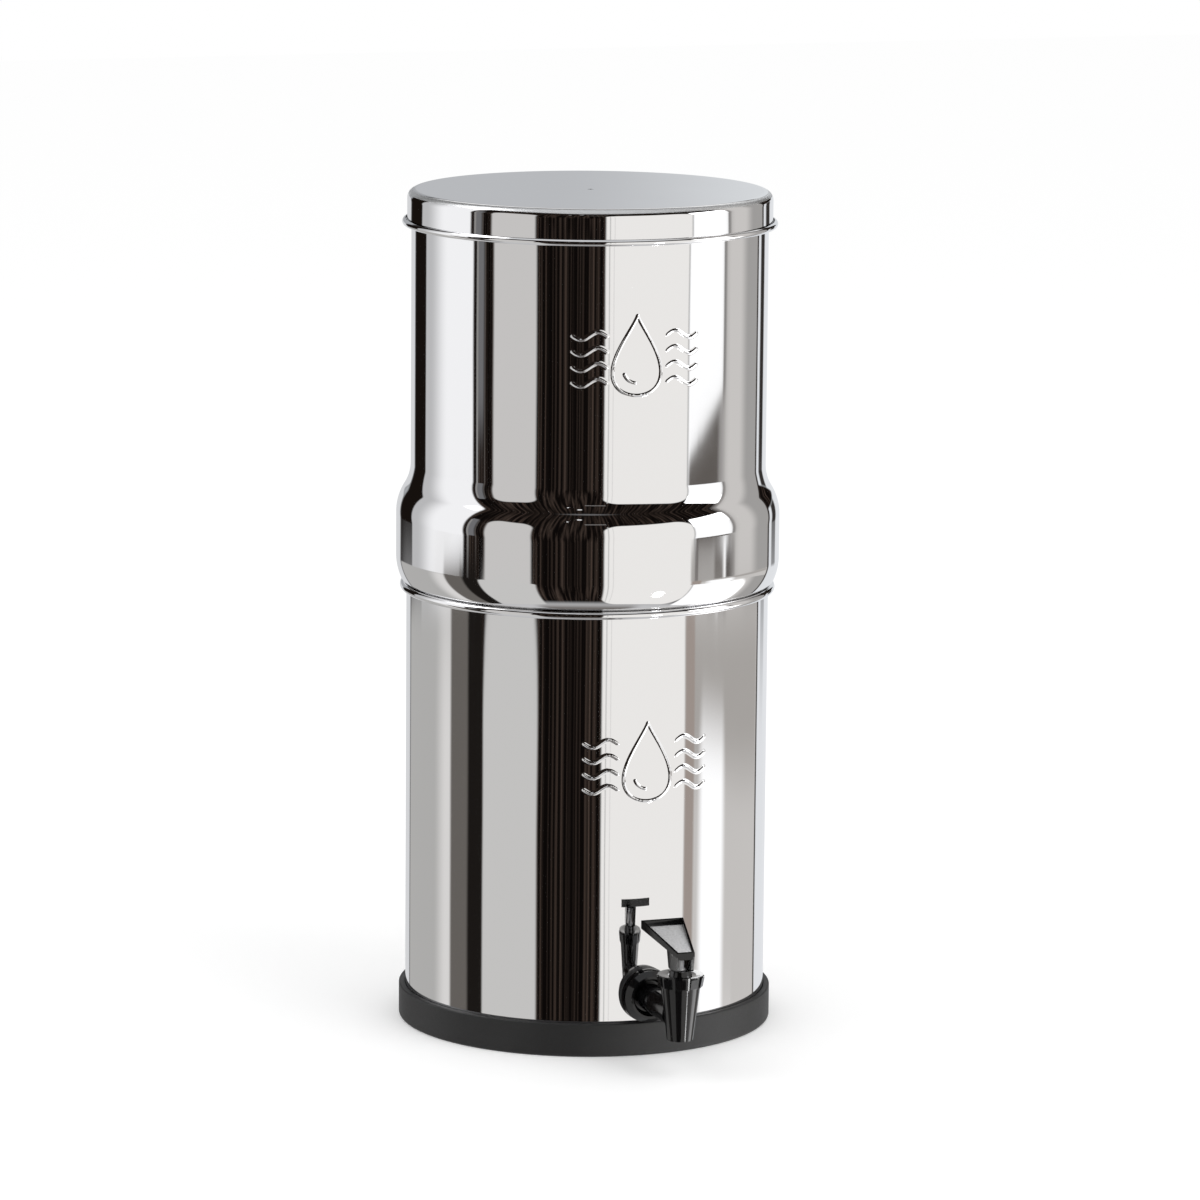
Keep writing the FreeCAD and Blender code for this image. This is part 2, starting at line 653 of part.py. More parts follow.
def tap_bonnet():
    """Screwed cap with a dished top, a boss for the lever's heels and grip pads round its skirt."""
    bore = f"({SPIGOT_RADIUS} + dim.thread_gap)"
    body = turned("tap_bonnet", [
        (bore, BARREL_TOP),
        (BONNET_LOW_RADIUS, BARREL_TOP),
        (BONNET_RADIUS, BONNET_TOP),
        (f"{BONNET_RADIUS} - dim.bonnet_rim", BONNET_TOP),
        ("dim.boss_radius", f"{BONNET_TOP} - dim.bonnet_dish"),
        ("dim.boss_top_radius", BOSS_TOP),
        ("dim.valve_stem_radius + dim.rest_gap", BOSS_TOP),
        ("dim.valve_stem_radius + dim.rest_gap", f"{SPIGOT_TOP} + dim.thread_gap"),
        (bore, f"{SPIGOT_TOP} + dim.thread_gap"),
    ])
    grip_low = f"({BARREL_TOP} + dim.bonnet_rim / 2)"
    grip_high = f"{grip_low} + dim.grip_height"
    sketch = body_sketch(body, "XZ_Plane", "grip_outline", [
        (f"{BONNET_LOW_RADIUS} - dim.grip_proud", grip_low),
        (f"{BONNET_LOW_RADIUS} + dim.grip_proud", grip_low),
        (f"{BONNET_RADIUS} + dim.grip_proud", grip_high),
        (f"{BONNET_LOW_RADIUS} - dim.grip_proud", grip_high),
    ])
    grip = body.newObject("PartDesign::Pad", "grip")
    grip.Profile = sketch
    grip.SideType = "Symmetric"
    bind(grip, Length="dim.grip_width")
    doc.recompute()
    pattern = body.newObject("PartDesign::PolarPattern", "grips")
    pattern.Originals = [grip]
    pattern.Axis = (sketch, ["V_Axis"])
    pattern.Angle = 360
    bind(pattern, Occurrences="dim.grip_count")
    body.Tip = pattern
    place(body, y=VALVE_Y)
    return body


def tap_seat_cup():
    foot = f"({SEAT} + dim.rest_gap)"
    top = f"({SPIGOT_TOP} - dim.rest_gap)"
    inside = "(dim.valve_stem_radius + dim.thread_gap)"
    pocket = "(dim.valve_foot_radius + dim.thread_gap)"
    pocket_low = f"({foot} + dim.cup_wall)"
    pocket_high = f"({pocket_low} + dim.valve_foot_height + 2 * dim.thread_gap)"
    body = turned("tap_seat_cup", [
        ("0", foot),
        ("dim.cup_radius", foot),
        ("dim.cup_radius", f"{foot} + dim.cup_foot"),
        ("dim.cup_waist", f"{foot} + dim.cup_foot + dim.cup_wall"),
        ("dim.cup_waist", f"{top} - dim.cup_flange_height"),
        ("dim.cup_flange", f"{top} - dim.cup_flange_height"),
        ("dim.cup_flange", top),
        (inside, top),
        (inside, pocket_high),
        (pocket, pocket_high),
        (pocket, pocket_low),
        ("0", pocket_low),
    ])
    place(body, y=VALVE_Y)
    return body


def tap_stem():
    """Valve stem with its foot in the cup, a skirt above the bonnet and an eye for the hinge pin."""
    foot = f"({SEAT} + dim.rest_gap + dim.cup_wall + dim.thread_gap)"
    skirt = f"({BOSS_TOP} + dim.rest_gap)"
    shaft = turned("stem_shaft", [
        ("0", foot),
        ("dim.valve_foot_radius", foot),
        ("dim.valve_foot_radius", f"{foot} + dim.valve_foot_height"),
        ("dim.valve_stem_radius", f"{foot} + dim.valve_foot_height"),
        ("dim.valve_stem_radius", skirt),
        ("dim.stem_skirt_radius", skirt),
        ("dim.valve_stem_radius", f"{skirt} + dim.stem_skirt_height"),
        ("dim.valve_stem_radius", PIN),
        ("0", PIN),
    ])
    place(shaft, y=VALVE_Y)
    eye = rod("stem_eye", "dim.eye_round", EYE_WIDTH, x=f"-{EYE_WIDTH} / 2", y=VALVE_Y, z=PIN, toward="side")
    hole = rod("stem_pin_hole", "dim.pin_radius + dim.pin_gap", "dim.fork_width", x="-dim.fork_width / 2",
               y=VALVE_Y, z=PIN, toward="side")
    return cut("tap_stem", joined("stem_solid", shaft, eye), hole)


def tap_hinge_pin():
    return rod("tap_hinge_pin", "dim.pin_radius", "dim.fork_width - 2 * dim.thread_gap",
               x="-dim.fork_width / 2 + dim.thread_gap", y=VALVE_Y, z=PIN, toward="side")


def lever_side(name, points):
    """A sketch seen from the side: x runs from the pin towards the vessel, y up from the pin."""
    sketch = doc.addObject("Sketcher::SketchObject", name)
    rotation = FreeCAD.Rotation(FreeCAD.Vector(1, 1, 1), 120)
    sketch.Placement = FreeCAD.Placement(FreeCAD.Vector(), rotation)
    place(sketch, y=VALVE_Y, z=PIN)
    return draw(sketch, points)


def lever_plan(name, trim):
    """The blade's plan, narrow at the fork and wide at the far end, drawn in by trim along its edges."""
    front, back = f"-dim.cheek_front + {trim}", f"dim.blade_length - dim.cheek_front - {trim}"
    narrow, wide = f"(dim.fork_width / 2 - {trim})", f"(dim.blade_width / 2 - {trim})"
    sketch = doc.addObject("Sketcher::SketchObject", name)
    place(sketch, y=VALVE_Y, z=PIN)
    return draw(sketch, [(f"-{narrow}", front), (narrow, front), (wide, back), (f"-{wide}", back)])


def tap_lever():
    """A trapezoid blade with a sunk panel, over two cheeks that straddle the stem and rest on the boss."""
    front, back = "-dim.cheek_front", "(dim.blade_length - dim.cheek_front)"
    deep = "2 * dim.blade_width"
    blade_side = lever_side("blade_side", [
        (front, "dim.blade_front_rise - dim.blade_front_depth"),
        (back, "dim.blade_back_rise - dim.blade_back_depth"),
        (back, "dim.blade_back_rise"),
        (front, "dim.blade_front_rise"),
    ])
    blade = shared("blade", slab("blade_block", blade_side, deep),
                   slab("blade_plan_block", lever_plan("blade_plan", "0"), deep))
    panel_side = lever_side("panel_side", [
        (front, "dim.blade_front_rise - dim.panel_front_sink"),
        (back, "dim.blade_back_rise - dim.panel_sink"),
        (back, "dim.blade_back_rise + dim.panel_sink"),
        (front, "dim.blade_front_rise + dim.panel_sink"),
    ])
    panel = shared("panel", slab("panel_block", panel_side, deep),
                   slab("panel_plan_block", lever_plan("panel_plan", "dim.rim_width"), deep))
    inside = "(dim.blade_front_rise - (dim.blade_front_depth + dim.panel_front_sink) / 2)"
    inside_back = "(dim.blade_back_rise - (dim.blade_back_depth + dim.panel_sink) / 2)"
    cheek_back_rise = (f"({inside} + ({inside_back} - {inside}) * (dim.cheek_front + dim.cheek_back)"
                       " / dim.blade_length)")
    cheeks = []
    for word, way in (("right", 1), ("left", -1)):
        sketch = lever_side(f"{word}_cheek_side", [
            (front, inside),
            ("-dim.cheek_heel_front", "-dim.heel_height + dim.heel_round"),
            ("-dim.cheek_heel_front + dim.heel_round", "-dim.heel_height"),
            ("dim.cheek_heel_back - dim.heel_round", "-dim.heel_height"),
            ("dim.cheek_heel_back", "-dim.heel_height + dim.heel_round"),
            ("dim.cheek_back", cheek_back_rise),
        ])
        bind(sketch, Placement__Base__x=f"{way} * (dim.fork_width - dim.cheek_width) / 2")
        cheeks.append(slab(f"{word}_cheek", sketch, "dim.cheek_width"))
    web = block("fork_web", "dim.fork_width - dim.cheek_width", "dim.web_width",
                "dim.web_depth - dim.blade_front_depth / 2", x="-(dim.fork_width - dim.cheek_width) / 2",
                y=f"{VALVE_Y} - dim.cheek_front + dim.thread_gap",
                z=f"{PIN} + dim.blade_front_rise - dim.web_depth")
    solid = joined("lever_solid", cut("sunk_blade", blade, panel), *cheeks, web)
    holes = rod("lever_pin_hole", "dim.pin_radius + dim.pin_gap", "2 * dim.fork_width", x="-dim.fork_width",
                y=VALVE_Y, z=PIN, toward="side")
    eye_room = rod("lever_eye_room", "dim.eye_round + dim.rest_gap", FORK_INNER, x=f"-{FORK_INNER} / 2",
                   y=VALVE_Y, z=PIN, toward="side")
    return cut("tap_lever", solid, joined("lever_bores", holes, eye_room))


nodes = [rubber_base(), lower_chamber(), upper_chamber(), lid()]
nodes += filter_stack("right", *PORTS[0]) + filter_stack("left", *PORTS[1])
nodes += blanking_plug("rear", *PORTS[2]) + blanking_plug("front", *PORTS[3])
nodes += [tap_body(), *tap_seals_and_nut(), tap_bonnet(), tap_seat_cup()]
nodes += [tap_stem(), tap_hinge_pin(), tap_lever()]
doc.recompute()

for item in doc.Objects:
    if "Invalid" in item.State or "Error" in item.State:
        raise SystemExit(f"{item.Label} failed: {item.State}")
os.makedirs("parts", exist_ok=True)
for node in nodes:
    if node.Shape.isNull() or not node.Shape.isValid() or not node.Shape.Solids:
        raise SystemExit(f"{node.Label} has no valid solid")
for node in nodes:
    node.Shape.exportStep(f"parts/{node.Label}.step")
    box = node.Shape.BoundBox
    print(f"{node.Label:24s} solids {len(node.Shape.Solids)}  volume {node.Shape.Volume:12.1f}  "
          f"z {box.ZMin:7.2f} to {box.ZMax:7.2f}  x {box.XMin:8.2f} to {box.XMax:8.2f}  "
          f"y {box.YMin:8.2f} to {box.YMax:8.2f}")
print(len(nodes), "nodes")
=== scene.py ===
import math
import bmesh
import bpy
import numpy as np
from mathutils import Matrix, Vector


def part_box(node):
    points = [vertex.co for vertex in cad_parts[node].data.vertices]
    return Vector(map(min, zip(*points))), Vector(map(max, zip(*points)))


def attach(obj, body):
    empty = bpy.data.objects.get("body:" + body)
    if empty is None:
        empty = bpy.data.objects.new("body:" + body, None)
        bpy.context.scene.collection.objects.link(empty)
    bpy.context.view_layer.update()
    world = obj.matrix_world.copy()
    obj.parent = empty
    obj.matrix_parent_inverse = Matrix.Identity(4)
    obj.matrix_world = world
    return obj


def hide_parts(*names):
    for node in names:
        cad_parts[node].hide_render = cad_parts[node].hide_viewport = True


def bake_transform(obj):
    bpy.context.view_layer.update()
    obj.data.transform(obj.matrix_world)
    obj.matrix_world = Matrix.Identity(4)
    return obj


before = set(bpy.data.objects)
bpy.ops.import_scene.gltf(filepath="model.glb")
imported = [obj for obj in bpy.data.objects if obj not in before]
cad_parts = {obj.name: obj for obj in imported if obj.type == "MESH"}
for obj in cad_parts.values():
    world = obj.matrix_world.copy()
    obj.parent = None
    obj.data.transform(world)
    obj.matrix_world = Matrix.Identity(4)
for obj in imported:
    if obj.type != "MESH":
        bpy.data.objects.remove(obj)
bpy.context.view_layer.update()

# gravity water filter: mirror-polished steel vessels, rubber ring and black tap, in metres in the CAD frame
scene = bpy.context.scene
scene.view_settings.view_transform = "Standard"
mm = 0.001
same = 1e-6              # millimetres; closer than this is the same place


def hexColour(text):
    # sRGB hex to the linear values that shaders take
    parts = [int(text[i:i + 2], 16) / 255 for i in (0, 2, 4)]
    return tuple(p / 12.92 if p <= 0.04045 else ((p + 0.055) / 1.055) ** 2.4 for p in parts) + (1.0,)


def addNode(tree, kind, inputs=None, **settings):
    # inputs are socket names or numbers; a socket as value is linked, anything else is typed in
    node = tree.nodes.new(kind)
    for field, value in settings.items():
        setattr(node, field, value)
    for name, value in (inputs or {}).items():
        if isinstance(value, bpy.types.NodeSocket):
            tree.links.new(value, node.inputs[name])
        else:
            node.inputs[name].default_value = value
    return node


def maths(tree, operation, *values):
    inputs = dict(enumerate(values))
    return addNode(tree, "ShaderNodeMath", inputs, operation=operation).outputs[0]


def vectorMaths(tree, operation, *values, out="Vector"):
    inputs = dict(enumerate(values))
    return addNode(tree, "ShaderNodeVectorMath", inputs, operation=operation).outputs[out]


def mixColours(tree, share, first, second, **settings):
    inputs = {0: share, 6: first, 7: second}
    return addNode(tree, "ShaderNodeMix", inputs, data_type="RGBA", **settings).outputs[2]


def newMaterial(name, colour, roughness, metallic=0.0, ior=None):
    material = bpy.data.materials.new(name)
    material.use_nodes = True
    tree = material.node_tree
    bsdf = tree.nodes["Principled BSDF"]
    bsdf.inputs["Base Color"].default_value = hexColour(colour)
    bsdf.inputs["Roughness"].default_value = roughness
    bsdf.inputs["Metallic"].default_value = metallic
    if ior:
        bsdf.inputs["IOR"].default_value = ior
    return material, tree, bsdf


# camera

cameraView = {
    "lens": 185.8, "azimuth": -19.5, "distance": 3.44687, "height": 0.84979,
    "pitch": -10.044, "yaw": 0.1213, "roll": 0.496,   # degrees; the picture leans a little clockwise
}


def makeCamera(v):
    turn = math.radians(v["azimuth"])
    toCamera = Vector((math.sin(turn), -math.cos(turn), 0))
    right = Vector((math.cos(turn), math.sin(turn), 0))
    aim, pitch, roll = (math.radians(v[k]) for k in ("yaw", "pitch", "roll"))
    flat = -toCamera * math.cos(aim) + right * math.sin(aim)
    side = right * math.cos(aim) + toCamera * math.sin(aim)
    ahead = flat * math.cos(pitch) + Vector((0, 0, math.sin(pitch)))
    up = side.cross(ahead)
    across = side * math.cos(roll) + up * math.sin(roll)
    above = up * math.cos(roll) - side * math.sin(roll)
    data = bpy.data.cameras.new("photoCamera")
    data.lens = v["lens"]
    camera = bpy.data.objects.new("photoCamera", data)
    scene.collection.objects.link(camera)
    spot = toCamera * v["distance"] + Vector((0, 0, v["height"]))
    turned = Matrix((across, above, -ahead)).transposed().to_4x4()
    camera.matrix_world = Matrix.Translation(spot) @ turned
    scene.camera = camera


makeCamera(cameraView)
print("camera set")


# studio: what the mirror steel reflects, painted on the world by direction

studio = {
    "facing": cameraView["azimuth"],        # turn 0 of the cards points at the camera, positive to its right
    "dark": "0c0908", "brown": "4c4039",    # the room behind the cards, dark with upright brown streaks
    "streak": 1.6, "streakLength": 50.0, "streakDetail": 4.0, "streakFrom": 0.47, "streakTo": 0.74,
    "fill": 0.88,                           # plain white that the matt surfaces are lit by
}
# name, turn, half width, lowest and highest elevation, colour, edge softness, corner; all in degrees.
# squeeze makes the softness finer up and down than sideways, lean tilts the upper and lower edges,
# strength lifts a card above white: black plastic reflects only a twentieth of it
cards = [
    ("tableTop", 0, 181, -91, -46, "c4c4c5", 12, 2),
    ("tableShade", 0, 40, -74, -52, "6f6a67", 16, 8),
    ("ceiling", 0, 181, 54, 91, "d2d3d5", 5.0, 2),
    ("leftPanel", -49, 15, -50, 26, "cac8c6", 2.0, 9),
    ("leftPanelLow", -50, 19, -50, -9.95, "c9c8c6", 2.0, 6, 5, 0.0),
    ("frontPanel", 38.5, 28.5, -48, 27, "f1efec", 1.6, 12),
    ("frontSeam", 12.6, 0.35, -44, 25, "c4c3c1", 0.4, 0.2),
    ("frontSeamDark", 15.5, 0.2, -44, 25, "d8d6d4", 0.3, 0.1),
    ("rightBox", 82, 14.5, -50, 27, "ffffff", 2.0, 2, 1, 0.0, 1.1),
    ("rightBoxTop", 82, 14, 12, 27, "ffffff", 2.0, 2, 1, 0.0, 3.5),
    ("rightShade", 83.5, 15.5, -9.55, -8.38, "5e5955", 3.0, 2, 12, -0.021),
    ("rightShadeFar", 97, 4.0, -9.55, -8.2, "918e8c", 4.0, 1, 12, -0.021),
    ("flareShade", 76, 11.0, -10.03, -9.55, "aaa7a4", 2.0, 1, 14, 0.0),
    ("flareStreak", 69, 1.2, -10.03, -9.55, "6f6b69", 1.0, 0.5, 14, 0.0),
    ("flareStreakFar", 86, 3.5, -10.03, -9.55, "716c68", 3.0, 1, 14, 0.0),
    ("flareDark", 96, 4.5, -10.03, -9.55, "3c3531", 2.0, 1, 14, 0.0),
    ("rightWallFar", 119, 19.5, -50, 70, "a3a19f", 1.6, 1),
    ("rightWall", 109, 10.5, -50, 70, "cdcac7", 12.0, 4),
    ("lowRight", 102, 36.5, -14.9, -10.05, "c9c6c3", 1.5, 1, 8, 0.0),
    ("lowRightTop", 102, 36.0, -11.6, -10.05, "aaa6a2", 4.0, 1, 4, 0.0),
    ("lowRightBox", 88.5, 10.5, -14.9, -11.2, "ffffff", 6.0, 3, 5, 0.004, 1.1),
    ("lowRightFoot", 69.5, 3.5, -14.9, -10.05, "a0958e", 2.0, 1, 8, 0.0),
    ("rightRear", 161, 20, -60, 2, "e4e6e9", 2.0, 1),
    ("rightRearLine", 150, 4.5, -10.0, 2, "34312f", 3.0, 1.5),
    ("leftBox", -105, 25, -50, 62, "f9f9fa", 2.0, 3),
    ("leftBoxTop", -106, 23, 36, 61, "ffffff", 3.0, 3, 1, 0.0, 4.0),
    ("leftBoxFall", -131, 17, -50, 62, "bdbdbe", 22.0, 5),
    ("leftLimb", -141.5, 10.5, -10.0, 62, "17120f", 2.0, 1),
    ("leftLow", -122, 30, -50, -10.05, "b2b1af", 3.0, 2, 5, 0.0),
    ("leftLowFront", -98, 9, -50, -10.05, "dcdad8", 14.0, 2, 5, 0.0),
    ("leftBand", -76.5, 6.5, -50, -9.75, "1c1917", 1.5, 1, 8, 0.0),
    ("leftBandWarm", -88.5, 7.5, -50, -9.75, "66625e", 3.0, 1, 8, 0.0),
    ("leftGlass", -74, 2.6, -8.4, 22, "6f6f71", 2.0, 1, 3, 0.0),
    ("leftSliver", -76.5, 0.7, -9.7, 20, "8f8d8b", 0.8, 0.4),
    ("leftSliverThin", -70.5, 0.35, -9.7, 20, "55504d", 0.4, 0.2),
    ("leftRear", -167.5, 13.5, -60, 2, "d6d7d9", 3.0, 2),
    ("lampSpot", -6, 1.6, 41, 43, "ffffff", 0.6, 0.5),
    ("lampSpotSmall", -14, 0.9, 36, 37.4, "ffffff", 0.5, 0.4),
    ("lampBar", 5, 7.0, 30.5, 31.7, "8d8a88", 0.8, 0.4),
    ("lidSky", 180, 12, 2, 19, "babcbf", 4.0, 2),
    ("lidSkyLeft", -165, 12, 2, 19, "a6a8ab", 3.6, 0.1),
    ("lidSkyRight", 170, 9.1, 2, 19, "dbdee1", 2.6, 1.3),
    ("overhead", 172, 24, 24, 40, "ffffff", 5.0, 5),
    ("tapStrip", 46, 2.8, -33, -25, "ffffff", 1.6, 1, 1, 0.0, 14.0),
    ("ringGlow", 97, 15, -44, -18, "ffffff", 10.0, 5, 1, 0.0, 3.4),
]


def makeWorld(s, cards):
    world = bpy.data.worlds.new("studioWorld")
    scene.world = world
    world.use_nodes = True
    world.cycles.sampling_method = "NONE"
    tree = world.node_tree
    tree.nodes.clear()
    turn = math.radians(s["facing"])
    toward, right = (math.sin(turn), -math.cos(turn), 0), (math.cos(turn), math.sin(turn), 0)
    way = addNode(tree, "ShaderNodeTexCoord").outputs["Generated"]
    ahead = vectorMaths(tree, "DOT_PRODUCT", way, toward, out="Value")
    aside = vectorMaths(tree, "DOT_PRODUCT", way, right, out="Value")
    height = addNode(tree, "ShaderNodeSeparateXYZ", {0: way}).outputs["Z"]
    angle = maths(tree, "DEGREES", maths(tree, "ARCTAN2", aside, ahead))
    rise = maths(tree, "DEGREES", maths(tree, "ARCSINE", height))
    grain = addNode(tree, "ShaderNodeCombineXYZ", {0: angle, 1: rise}).outputs[0]
    grain = addNode(tree, "ShaderNodeMapping", {
        "Vector": grain, "Scale": (1 / s["streak"], 1 / s["streakLength"], 1),
    }).outputs[0]
    grain = addNode(tree, "ShaderNodeTexNoise", {
        "Vector": grain, "Scale": 1.0, "Detail": s["streakDetail"],
    }).outputs["Fac"]
    grain = addNode(tree, "ShaderNodeMapRange", {
        "Value": grain, "From Min": s["streakFrom"], "From Max": s["streakTo"],
    }).outputs[0]
    paint = mixColours(tree, grain, hexColour(s["dark"]), hexColour(s["brown"]))
    for name, middle, half, low, high, colour, soft, corner, *shape in cards:
        squeeze, lean, strength = (*shape, *(1, 0, 1)[len(shape):])
        corner = max(corner, soft / 2)
        tint = tuple(c * strength for c in hexColour(colour)[:3]) + (1.0,)
        # how far outside the card's rounded rectangle the direction lies
        off = maths(tree, "WRAP", maths(tree, "ADD", angle, -middle), -180.0, 180.0)
        level = maths(tree, "MULTIPLY_ADD", off, lean, rise)
        level = maths(tree, "ADD", level, -(low + high) / 2)
        spot = addNode(tree, "ShaderNodeCombineXYZ", {0: off, 1: level}).outputs[0]
        spot = vectorMaths(tree, "ABSOLUTE", vectorMaths(tree, "MULTIPLY", spot, (1, squeeze, 1)))
        inset = (half - corner, (high - low) / 2 * squeeze - corner, 0)
        spot = vectorMaths(tree, "MAXIMUM", vectorMaths(tree, "SUBTRACT", spot, inset), (0, 0, 0))
        reach = vectorMaths(tree, "LENGTH", spot, out="Value")
        mask = addNode(tree, "ShaderNodeMapRange", {
            "Value": reach, "From Min": corner + soft / 2, "From Max": corner - soft / 2,
        }, interpolation_type="SMOOTHSTEP").outputs[0]
        paint = mixColours(tree, mask, paint, tint, label=name)
    shine = addNode(tree, "ShaderNodeBackground", {"Color": paint}).outputs[0]
    plain = addNode(tree, "ShaderNodeBackground", {
        "Color": hexColour("ffffff"), "Strength": s["fill"],
    }).outputs[0]
    white = addNode(tree, "ShaderNodeBackground", {"Color": hexColour("ffffff")}).outputs[0]
    light = addNode(tree, "ShaderNodeLightPath")
    glossy, camera = light.outputs["Is Glossy Ray"], light.outputs["Is Camera Ray"]
    seen = addNode(tree, "ShaderNodeMixShader", {0: glossy, 1: plain, 2: shine}).outputs[0]
    seen = addNode(tree, "ShaderNodeMixShader", {0: camera, 1: seen, 2: white}).outputs[0]
    addNode(tree, "ShaderNodeOutputWorld", {"Surface": seen})


makeWorld(studio, cards)

# name, turn and elevation in degrees, distance and width in metres, watts
lamps = [
    ("keyLamp", 50, 48, 2.2, 1.6, 9),
    ("sideLamp", -70, 40, 2.2, 1.6, 4),
]
lampAim = Vector((0, 0, 0.25))              # about half way up the part


def makeLamp(name, turn, rise, reach, size, watts):
    lamp = bpy.data.lights.new(name, "AREA")
    lamp.shape = "DISK"
    lamp.size = size
    lamp.energy = watts
    light = bpy.data.objects.new(name, lamp)
    scene.collection.objects.link(light)
    t, e = math.radians(studio["facing"] + turn), math.radians(rise)
    way = Vector((math.sin(t) * math.cos(e), -math.cos(t) * math.cos(e), math.sin(e)))
    light.location = way * reach + lampAim
    light.rotation_euler = way.to_track_quat("Z", "Y").to_euler()
    light.visible_glossy = False            # the steel reflects the cards alone


for row in lamps:
    makeLamp(*row)

floorSizes = {
    "half": 6.0,                            # metres
    "glow": 0.16,                           # lifts the paper to white for the camera alone
}


def makeFloor(v):
    mesh = bpy.data.meshes.new("whiteFloor")
    half = v["half"]
    corners = [(-half, -half, 0), (half, -half, 0), (half, half, 0), (-half, half, 0)]
    mesh.from_pydata(corners, [], [(0, 1, 2, 3)])
    floor = bpy.data.objects.new("whiteFloor", mesh)
    scene.collection.objects.link(floor)
    # matt white paper
    material, tree, bsdf = newMaterial("whitePaper", "f8f8f8", 0.9)
    bsdf.inputs["Specular IOR Level"].default_value = 0.0
    seen = addNode(tree, "ShaderNodeLightPath").outputs["Is Camera Ray"]
    lift = maths(tree, "MULTIPLY", seen, v["glow"])
    glow = addNode(tree, "ShaderNodeEmission", {
        "Color": hexColour("ffffff"), "Strength": lift,
    }).outputs[0]
    both = addNode(tree, "ShaderNodeAddShader", {0: bsdf.outputs[0], 1: glow}).outputs[0]
    tree.links.new(both, tree.nodes["Material Output"].inputs["Surface"])
    mesh.materials.append(material)
    floor.visible_glossy = False            # the studio's own table top stands for it in the steel


makeFloor(floorSizes)
print("studio set")


# materials

def place3d(tree, scale=(1, 1, 1)):
    # object coordinates in metres, which are the frame's own
    spot = addNode(tree, "ShaderNodeTexCoord").outputs["Object"]
    return addNode(tree, "ShaderNodeMapping", {"Vector": spot, "Scale": scale}).outputs[0]


def noise(tree, vector, size, detail, rough=0.5):
    # size is the real spacing of the blotches in metres
    return addNode(tree, "ShaderNodeTexNoise", {
        "Vector": vector, "Scale": 1 / size, "Detail": detail, "Roughness": rough,
    }).outputs["Fac"]


def roughen(tree, bsdf, value, low, high):
    # value runs from 0 to 1
    made = addNode(tree, "ShaderNodeMapRange", {"Value": value, "To Min": low, "To Max": high})
    tree.links.new(made.outputs[0], bsdf.inputs["Roughness"])


def stain(tree, bsdf, value, first, second):
    tint = mixColours(tree, value, hexColour(first), hexColour(second))
    tree.links.new(tint, bsdf.inputs["Base Color"])


def bump(tree, bsdf, value, depth):
    made = addNode(tree, "ShaderNodeBump", {"Height": value, "Distance": depth, "Strength": 1.0})
    tree.links.new(made.outputs[0], bsdf.inputs["Normal"])


def polishedStainless():
    # 304 stainless buffed to a mirror: sharp reflections with a faint sheet-metal wobble
    material, tree, bsdf = newMaterial("polishedStainless", "f6f6f7", 0.03, metallic=1.0)
    roughen(tree, bsdf, noise(tree, place3d(tree), 22 * mm, 4), 0.02, 0.05)
    bump(tree, bsdf, noise(tree, place3d(tree, (1, 1, 0.4)), 70 * mm, 1), 0.3 * mm)
    return material


def satinStainless():
    # the unbuffed inside of the vessels, fine drawing lines round the axis
    material, tree, bsdf = newMaterial("satinStainless", "dcddde", 0.3, metallic=0.8)
    lines = noise(tree, place3d(tree, (0.02, 0.02, 1)), 0.6 * mm, 3)   # real lines are finer
    roughen(tree, bsdf, lines, 0.26, 0.36)
    bump(tree, bsdf, lines, 0.001 * mm)
    return material


def epdmRubber():
    # moulded EPDM: dull black, pitted by the mould
    material, tree, bsdf = newMaterial("epdmRubber", "1c1c1d", 0.5, ior=1.6)
    spot = place3d(tree)
    grain = noise(tree, spot, 0.9 * mm, 4, 0.6)
    stain(tree, bsdf, noise(tree, spot, 30 * mm, 3), "161617", "222223")
    roughen(tree, bsdf, grain, 0.42, 0.68)
    bump(tree, bsdf, grain, 0.06 * mm)
    return material


def glossAbs():
    # injection-moulded black ABS from a polished tool
    material, tree, bsdf = newMaterial("glossAbs", "0c0c0d", 0.08, ior=1.54)
    spot = place3d(tree)
    roughen(tree, bsdf, noise(tree, spot, 6 * mm, 3), 0.05, 0.13)
    bump(tree, bsdf, noise(tree, spot, 7 * mm, 2), 0.03 * mm)      # slight sink marks
    return material


def grainedAbsPaintedSheen():
    # the same black ABS where the tool is spark-eroded, with a fine grain; its light grey colour is painted
    # sheen, the studio light the sunk panel reflects
    material, tree, bsdf = newMaterial("grainedAbsPaintedSheen", "727273", 0.36, ior=1.54)
    grain = noise(tree, place3d(tree), 1.0 * mm, 3, 0.7)
    # painted sheen: mid grey to near white across the grain
    stain(tree, bsdf, grain, "6c6c6d", "f4f4f5")
    roughen(tree, bsdf, grain, 0.28, 0.44)
    bump(tree, bsdf, grain, 0.08 * mm)
    return material


def sealRubber():
    # soft moulded seals, a little shinier than the ring
    material, tree, bsdf = newMaterial("nitrileRubber", "242425", 0.45, ior=1.5)
    grain = noise(tree, place3d(tree), 0.8 * mm, 3)
    roughen(tree, bsdf, grain, 0.36, 0.54)
    bump(tree, bsdf, grain, 0.03 * mm)
    return material


def acetal():
    # grey acetal, machined smooth and slightly waxy
    material, tree, bsdf = newMaterial("acetal", "ececee", 0.3, ior=1.48)
    grain = noise(tree, place3d(tree, (1, 1, 3)), 1.2 * mm, 2)
    roughen(tree, bsdf, grain, 0.24, 0.38)
    bump(tree, bsdf, grain, 0.015 * mm)
    return material


def clearSilicone():
    # milky food-grade silicone
    material, tree, bsdf = newMaterial("silicone", "d9d8d2", 0.38, ior=1.43)
    bsdf.inputs["Subsurface Weight"].default_value = 0.3
    bsdf.inputs["Subsurface Scale"].default_value = 2 * mm
    bump(tree, bsdf, noise(tree, place3d(tree), 1.5 * mm, 2), 0.02 * mm)
    return material


